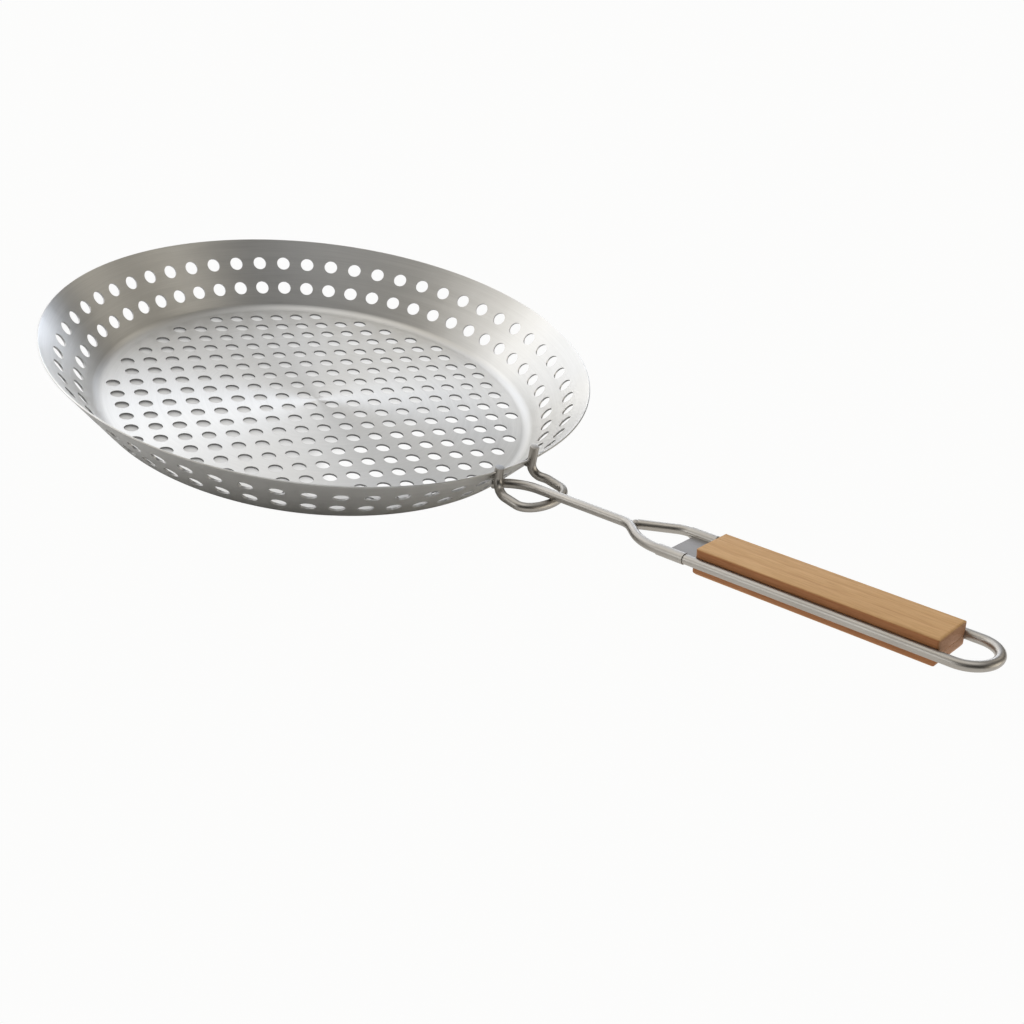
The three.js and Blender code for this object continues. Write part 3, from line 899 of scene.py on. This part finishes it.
# %% Helpers for nodes
def finish(name, metallic, roughness, **sockets):
    """A new material with its shader set. Returns the material and its shader."""
    material = bpy.data.materials.new(name)
    material.use_nodes = True
    shader = material.node_tree.nodes["Principled BSDF"]
    shader.inputs["Metallic"].default_value = metallic
    shader.inputs["Roughness"].default_value = roughness
    for socket, value in sockets.items():
        shader.inputs[socket].default_value = value
    return material, shader


def add(material, kind, inputs=None, **settings):
    """Adds a node. inputs: a value or another node's output for each named or numbered socket."""
    tree = material.node_tree
    node = tree.nodes.new("ShaderNode" + kind)
    for key, value in settings.items():
        setattr(node, key, value)
    for socket, value in (inputs or {}).items():
        if isinstance(value, bpy.types.NodeSocket):
            tree.links.new(value, node.inputs[socket])
        else:
            node.inputs[socket].default_value = value
    return node


def link(material, output, shader, socket):
    material.node_tree.links.new(output, shader.inputs[socket])


def here(material):
    """The place on the object, in metres."""
    return add(material, "TexCoord").outputs["Object"]


def maths(material, operation, *values):
    return add(material, "Math", dict(enumerate(values)), operation=operation).outputs[0]


def length_of(material, vector):
    return add(material, "VectorMath", {0: vector}, operation="LENGTH").outputs["Value"]


# %% [markdown]
# Noise gives the patterns. A ramp turns a pattern into colours, a range turns a distance into a
# soft step, and layers of colour are multiplied. A bump tilts the surface a little by a pattern.


# %% Patterns and colours
def grey(value):
    return (value, value, value)


def noise(material, place, scale=1.0, detail=2.0, rough=0.5):
    inputs = {"Vector": place, "Scale": scale, "Detail": detail, "Roughness": rough}
    return add(material, "TexNoise", inputs).outputs["Fac"]


def stretched(material, place, scale, start=(0, 0, 0)):
    """The place times a scale along each axis. A small scale draws the pattern long."""
    return add(material, "Mapping", {0: place, "Scale": scale, "Location": start}).outputs[0]


def ramp(material, factor, *stops):
    """A colour ramp: each stop is a place and a colour."""
    node = add(material, "ValToRGB", {0: factor})
    while len(node.color_ramp.elements) < len(stops):
        node.color_ramp.elements.new(0.5)
    for element, (place, colour) in zip(node.color_ramp.elements, stops):
        element.position = place
        element.color = (*colour, 1)
    return node.outputs[0]


def between(material, value, low, high, at_low=0.0, at_high=1.0):
    """Goes from at_low to at_high while the value goes from low to high, and is level outside."""
    inputs = {0: value, 1: low, 2: high, 3: at_low, 4: at_high}
    return add(material, "MapRange", inputs).outputs[0]


def multiplied(material, under, over, strength=1.0):
    inputs = {0: strength, 6: under, 7: over}
    return add(material, "Mix", inputs, data_type="RGBA", blend_type="MULTIPLY").outputs[2]


def bumpy(material, shader, pattern, strength, deep):
    """deep is the height of the bumps in mm."""
    inputs = {"Strength": strength, "Distance": deep * MM, "Height": pattern}
    link(material, add(material, "Bump", inputs).outputs[0], shader, "Normal")


# %% [markdown]
# The pan's steel is brushed in circles, as it turned under the abrasive. The fine lines come from
# noise that is stretched round the axis: its place is the unit direction from the axis, which
# changes slowly, and the radius, which changes fast. They change the roughness, the colour and the
# bump a little, and the shader itself spreads its reflections across the lines.

# %% Brushed steel
FINE_LINES = (5, 3200)
BROAD_LINES = (2.2, 420)
BEND_SHADE = 0.92
BEND_REACH = (0.001, 0.006)


def from_axis(material):
    """The place in plan, and its distance from the Z axis."""
    plan = {0: here(material), 1: (1, 1, 0)}
    flat = add(material, "VectorMath", plan, operation="MULTIPLY").outputs[0]
    return flat, length_of(material, flat)


def round_the_axis(material, along, across):
    """A place for noise that is stretched in circles round the Z axis."""
    flat, radius = from_axis(material)
    unit = add(material, "VectorMath", {0: flat}, operation="NORMALIZE").outputs[0]
    slow = add(material, "VectorMath", {0: unit, "Scale": along}, operation="SCALE").outputs[0]
    fast = maths(material, "MULTIPLY", radius, across)
    lift = add(material, "CombineXYZ", {2: fast}).outputs[0]
    return add(material, "VectorMath", {0: slow, 1: lift}, operation="ADD").outputs[0]


def steel_tone(steel, lines):
    """Grey with the lines, warmer in soft clouds, and painted a little darker along the bend, as
    shade.
    """
    tint = ramp(steel, lines, (0.25, (0.60, 0.595, 0.58)), (0.75, (0.72, 0.715, 0.70)))
    clouds = noise(steel, here(steel), 14, 3)
    warm = ramp(steel, clouds, (0.3, (0.97, 0.96, 0.94)), (0.7, grey(1.0)))
    # Painted shade: the colour darkens near the crease between floor and wall.
    off = maths(steel, "ABSOLUTE", maths(steel, "SUBTRACT", from_axis(steel)[1], crease * MM))
    bend_shade = between(steel, off, *BEND_REACH, BEND_SHADE, 1.0)
    return multiplied(steel, multiplied(steel, tint, warm), bend_shade)


def brushed_steel():
    steel, shader = finish("brushed_steel", 1, 0.36, Anisotropic=0.85)
    shader.inputs["Anisotropic Rotation"].default_value = 0.25
    tangent = add(steel, "Tangent", direction_type="RADIAL", axis="Z").outputs[0]
    link(steel, tangent, shader, "Tangent")
    fine = noise(steel, round_the_axis(steel, *FINE_LINES))
    broad = noise(steel, round_the_axis(steel, *BROAD_LINES), detail=3)
    lines = maths(steel, "MULTIPLY", maths(steel, "ADD", fine, broad), 0.5)
    link(steel, steel_tone(steel, lines), shader, "Base Color")
    rough = ramp(steel, lines, (0.3, grey(0.32)), (0.7, grey(0.40)))
    link(steel, rough, shader, "Roughness")
    bumpy(steel, shader, lines, 0.12, 0.05)
    return steel


# %% [markdown]
# Cut and drawn steel has no brush lines. The punched edges are darker and spotted, and those of the
# floor's holes are darker still, as painted shade inside the holes. The wire is satin, the weld beads
# are lumpy and brown, and the tang's dark sheet has lines along the handle.


# %% The other steels
def punched_edge(name, dark, light):
    steel, shader = finish(name, 1, 0.45)
    spots = noise(steel, here(steel), 900, 2)
    link(steel, ramp(steel, spots, (0.3, grey(dark)), (0.7, grey(light))), shader, "Base Color")
    return steel


def satin_wire():
    steel, shader = finish("satin_wire", 0.9, 0.34, IOR=1.3)
    broad = noise(steel, here(steel), 45, 2)
    tint = ramp(steel, broad, (0.3, (0.37, 0.347, 0.315)), (0.7, (0.425, 0.402, 0.368)))
    link(steel, tint, shader, "Base Color")
    spots = noise(steel, here(steel), 180, 1)
    link(steel, ramp(steel, spots, (0.3, grey(0.30)), (0.7, grey(0.37))), shader, "Roughness")
    bumpy(steel, shader, spots, 0.03, 0.05)
    return steel


def weld_steel():
    steel, shader = finish("weld_steel", 1, 0.42)
    spots = noise(steel, here(steel), 700, 3)
    tint = ramp(steel, spots, (0.3, (0.30, 0.28, 0.25)), (0.7, (0.44, 0.42, 0.39)))
    link(steel, tint, shader, "Base Color")
    bumpy(steel, shader, spots, 0.4, 0.1)
    return steel


def plate_steel():
    steel, shader = finish("plate_steel", 1, 0.34)
    lines = noise(steel, stretched(steel, here(steel), (60, 2400, 2400)))
    tint = ramp(steel, lines, (0.3, (0.20, 0.184, 0.168)), (0.7, (0.255, 0.236, 0.215)))
    link(steel, tint, shader, "Base Color")
    link(steel, ramp(steel, lines, (0.3, grey(0.28)), (0.7, grey(0.42))), shader, "Roughness")
    return steel


# %% [markdown]
# The grip's wood is light and fine-grained, with its fibres along the handle. A wave of rings,
# bent by noise and stretched along the grain, gives the figure, and short dark pores lie in it.
# The pattern is turned by the handle's slope, so that it runs along the grip. The grip's sides
# are painted darker than its flat top, as painted shade, and its ends a little darker, as end grain
# and painted shade.

# %% Wood
RING_TONES = (
    (0.0, (0.66, 0.40, 0.178)),
    (0.75, (0.70, 0.435, 0.205)),
    (1.0, (0.61, 0.355, 0.15)),
)
SIDE_SHADE = (0.56, 0.385, 0.32)
END_GRAIN_AND_SHADE = (0.68, 0.60, 0.74)


def ring_figure(wood, turned):
    rings_at = stretched(wood, turned, (8, 110, 110), (0, 3.1, 8))
    inputs = {"Vector": rings_at, "Scale": 1.0, "Distortion": 5.0, "Detail": 3.0}
    wave = add(wood, "TexWave", inputs, wave_type="RINGS", rings_direction="X", wave_profile="SAW")
    return ramp(wood, wave.outputs["Fac"], *RING_TONES)


def side_and_end_shade(wood):
    """The painted shade of sideways faces, and the end grain and painted shade of endwise faces."""
    facing = add(wood, "SeparateXYZ", {0: add(wood, "TexCoord").outputs["Normal"]}).outputs
    sideways = maths(wood, "ABSOLUTE", facing[1])
    endwise = maths(wood, "ABSOLUTE", facing[0])
    # Painted shade by direction: sideways faces darker, endwise faces darker as end grain and shade.
    sideways_shade = ramp(wood, sideways, (0.5, grey(1.0)), (0.9, SIDE_SHADE))
    endwise_grain_shade = ramp(wood, endwise, (0.5, grey(1.0)), (0.9, END_GRAIN_AND_SHADE))
    return sideways_shade, endwise_grain_shade


def grip_wood():
    wood, shader = finish("grip_wood", 0, 0.6)
    shader.inputs["Specular IOR Level"].default_value = 0.25
    slant = (0, math.radians(HANDLE_RISE), 0)
    turned = add(wood, "Mapping", {0: here(wood), "Rotation": slant}).outputs[0]
    drift = noise(wood, stretched(wood, turned, (14, 60, 60)), 1, 3)
    fibre = noise(wood, stretched(wood, turned, (90, 1700, 1700)), 1, 3, 0.6)
    cloud = ramp(wood, drift, (0.3, (0.90, 0.87, 0.84)), (0.7, grey(1.0)))
    grain = ramp(wood, fibre, (0.35, (0.82, 0.78, 0.73)), (0.58, grey(1.0)))
    colour = multiplied(wood, ring_figure(wood, turned), cloud)
    colour = multiplied(wood, colour, grain, 0.8)
    # Painted shade on the sides and ends, with end grain on the ends.
    for painted_shade in side_and_end_shade(wood):
        colour = multiplied(wood, colour, painted_shade)
    link(wood, colour, shader, "Base Color")
    link(wood, ramp(wood, fibre, (0.3, grey(0.7)), (0.7, grey(0.56))), shader, "Roughness")
    bumpy(wood, shader, fibre, 0.2, 0.1)
    return wood


# %% [markdown]
# A piece gets its finish by the end of its name. Three pieces show two or more: the insides of the
# pan's holes are darker, those of the floor's holes as painted shade, the near leg's cut end gets
# that painted shade too, and the tang's sockets match the wire.

# %% Give each piece its finish
LEG_END_REACH = 2.6
FACING_UP = 0.4
SOCKETS_FROM = TAIL_SIDE + 0.2


def paint(obj, *materials):
    obj.data.materials.clear()
    for material in materials:
        obj.data.materials.append(material)


pan_steel = brushed_steel()
wire_steel = satin_wire()
# Painted shade: the floor holes' edge steel is dark to stand for the shade inside those holes.
floor_edge = punched_edge("floor_edge", 0.30, 0.41)
wall_edge = punched_edge("wall_edge", 0.5, 0.6)
by_ending = {"_wire": wire_steel, "_bead": weld_steel(), "_wood": grip_wood()}
tang_steel = plate_steel()
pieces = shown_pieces()
for obj in pieces:
    paint(obj, by_ending.get(obj.name[-5:], tang_steel))
paint(bracket, wire_steel, floor_edge)
# Painted shade: the near leg's cut top alone gets the floor holes' darker edge steel.
near_leg_end = Vector((LEG_X, -LEG_SIDE, NEAR_LEG_TOP)) * MM
for face in bracket.data.polygons:
    at_end = (face.center - near_leg_end).length < LEG_END_REACH * MM
    face.material_index = int(at_end and face.normal.z > FACING_UP)
paint(tang, tang_steel, wire_steel)
for face in tang.data.polygons:
    face.material_index = int(abs(face.center.y) > SOCKETS_FROM * MM)
print(len(pieces), "pieces have their finish")

# %% [markdown]
# The cut edges of the pan's holes are told from the sheet by their direction. A hole in the floor
# has upright walls, and one in the wall has walls that run through the leaning sheet. The bend and
# the rim belong to the sheet.

# %% The pan's cut edges
FLOOR_END = flat_radius - 0.5
WALL_START = crease + 3
WALL_END = RIM_HEIGHT - 0.8
ACROSS_SHEET = 0.5


def cut_kind(face):
    """0 for the sheet's own faces, 1 for the inside of a floor hole and 2 for that of a wall hole."""
    middle = face.center
    if middle.xy.length < FLOOR_END * MM:
        return int(abs(face.normal.z) < ACROSS_SHEET)
    if middle.xy.length < WALL_START * MM or middle.z > WALL_END * MM:
        return 0
    outward = Vector((middle.x, middle.y, 0)).normalized()
    across = outward * slope.z - Vector((0, 0, slope.x))
    return 2 * int(abs(face.normal.dot(across)) < ACROSS_SHEET)


# Painted shade: the insides of the holes get the darker edge steels, darkest in the floor.
paint(pan, pan_steel, floor_edge, wall_edge)
cuts = [0, 0, 0]
for face in pan.data.polygons:
    face.material_index = cut_kind(face)
    cuts[face.material_index] += 1
print(cuts, "faces: sheet, floor holes, wall holes")

# %% [markdown]
# The studio is plain: a pale floor and soft light from all round. Behind and beside the object the
# surroundings are bright, and in front, where the camera stands, they are dimmer, which gives the
# far wall of the pan its grey. The floor and the surroundings look white to the camera.


# %% White to the camera
WHITE = (0.975, 0.975, 0.975 * 0.995, 1)


def white_to_camera(owner, dim, output, share=1.0):
    """The camera sees white where all other rays see the dim shader. share: where it does, 0 to 1."""
    path = add(owner, "LightPath").outputs["Is Camera Ray"]
    shown = maths(owner, "MULTIPLY", path, share)
    white = add(owner, "Emission", {0: WHITE})
    mix = add(owner, "MixShader", {0: shown, 1: dim, 2: white.outputs[0]})
    owner.node_tree.links.new(mix.outputs[0], output)


# %% [markdown]
# Through the holes of the pan's floor the table is seen in the pan's shade, as rendered, and a painted
# white lies over part of it, a painted shadow: the shade shows most at the front away from the
# handle, less across the pan, and not at all towards the handle. The places are in metres on the
# table.

# %% Where painted white lies over the table's shade
UNDER_FLOOR = (0.116, 0.122)
ASLANT = (0.6, 0.8, 0)
SHADE_ASLANT = (-0.11, 0.03)
SHADE_SHARE = (0.12, 0.68)
WHITE_FROM_X = (0.015, 0.055)
WHITE_ASLANT = (-0.014, 0.002)


def painted_white_share(material):
    """Share of painted white: low in the pan's shade, and 1 outside it and towards the handle."""
    flat, radius = from_axis(material)
    along = add(material, "SeparateXYZ", {0: flat}).outputs[0]
    aslant = add(material, "VectorMath", {0: flat, 1: ASLANT}, operation="DOT_PRODUCT")
    aslant = aslant.outputs["Value"]
    # Painted shadow: the white's share is set by the place on the table, not by the light.
    outside = between(material, radius, *UNDER_FLOOR)
    shaded = between(material, aslant, *SHADE_ASLANT, *SHADE_SHARE)
    past_x = between(material, along, *WHITE_FROM_X)
    past_slant = between(material, aslant, *WHITE_ASLANT)
    inside = maths(material, "MAXIMUM", shaded, maths(material, "MINIMUM", past_x, past_slant))
    return maths(material, "MAXIMUM", outside, inside)


# %% [markdown]
# The table lies half a millimetre below the pan, so that the two don't share a plane. It glows a
# little under the handle, which lights the lower sides of the wires and the grip.

# %% The table
GLOW_FROM_X = (0.15, 0.24)
GLOW = (0.01, 0.38)

bpy.ops.object.select_all(action="DESELECT")
bpy.ops.mesh.primitive_plane_add(size=40, location=(0, 0, -0.0005))
ground = bpy.context.object
ground.name = "ground"
pale, pale_shader = finish("pale_floor", 0, 0.9)
pale_shader.inputs["Base Color"].default_value = (0.8, 0.8, 0.8, 1)
pale_shader.inputs["Emission Color"].default_value = (1, 0.98, 0.95, 1)
towards_handle = add(pale, "SeparateXYZ", {0: here(pale)}).outputs[0]
link(pale, between(pale, towards_handle, *GLOW_FROM_X, *GLOW), pale_shader, "Emission Strength")
pale_output = pale.node_tree.nodes["Material Output"].inputs[0]
white_to_camera(pale, pale_shader.outputs[0], pale_output, painted_white_share(pale))
paint(ground, pale)
print("the table glows by", GLOW[1], "under the handle")

# %% [markdown]
# The surroundings are a sum of soft lights. Each is brightest at its middle and fades out round it:
# the larger the third number, the narrower it is.

# %% The surroundings
COOL = (0.93, 1.0, 1.13)
PLAIN = (1.0, 1.0, 1.0)
WARM = (1.07, 1.01, 0.89)
SOFT_LIGHTS = (
    # turn, height above the table, how narrow it is, brightness, tint
    (124, 2, 32, 3.6, COOL),
    (150, 6, 40, 2.0, PLAIN),
    (180, 6, 14, 1.6, PLAIN),
    (90, 34, 30, 1.0, WARM),
    (144, 34, 30, 1.1, PLAIN),
    (162, 34, 30, 1.3, COOL),
    (-162, 34, 30, 2.1, PLAIN),
    (-120, 6, 14, 2.2, PLAIN),
    (30, 6, 14, 2.4, WARM),
    (-150, 62, 14, 0.85, WARM),
    (138, 62, 14, 0.5, PLAIN),
    (0, 90, 14, 1.4, PLAIN),
)

world = bpy.context.scene.world or bpy.data.worlds.new("studio")
bpy.context.scene.world = world
world.use_nodes = True
room = world.node_tree.nodes["Background"]
toward = add(world, "TexCoord").outputs["Generated"]


def soft_light(turn, height, narrow, brightness, tint):
    """One soft light of the surroundings, as a colour that depends on the direction."""
    a = math.radians(turn)
    h = math.radians(height)
    middle = (math.cos(a) * math.cos(h), math.sin(a) * math.cos(h), math.sin(h))
    near = add(world, "VectorMath", {0: toward, 1: middle}, operation="DOT_PRODUCT").outputs["Value"]
    off = maths(world, "SUBTRACT", near, 1.0)
    glow = maths(world, "EXPONENT", maths(world, "MULTIPLY", off, narrow))
    colour = tuple(brightness * c for c in tint)
    return add(world, "VectorMath", {0: colour, "Scale": glow}, operation="SCALE").outputs[0]


light = soft_light(*SOFT_LIGHTS[0])
for more in SOFT_LIGHTS[1:]:
    light = add(world, "VectorMath", {0: light, 1: soft_light(*more)}, operation="ADD").outputs[0]
link(world, light, room, "Color")
white_to_camera(world, room.outputs[0], world.node_tree.nodes["World Output"].inputs[0])
bpy.context.scene.view_settings.view_transform = "Standard"
print(len(SOFT_LIGHTS), "soft lights")
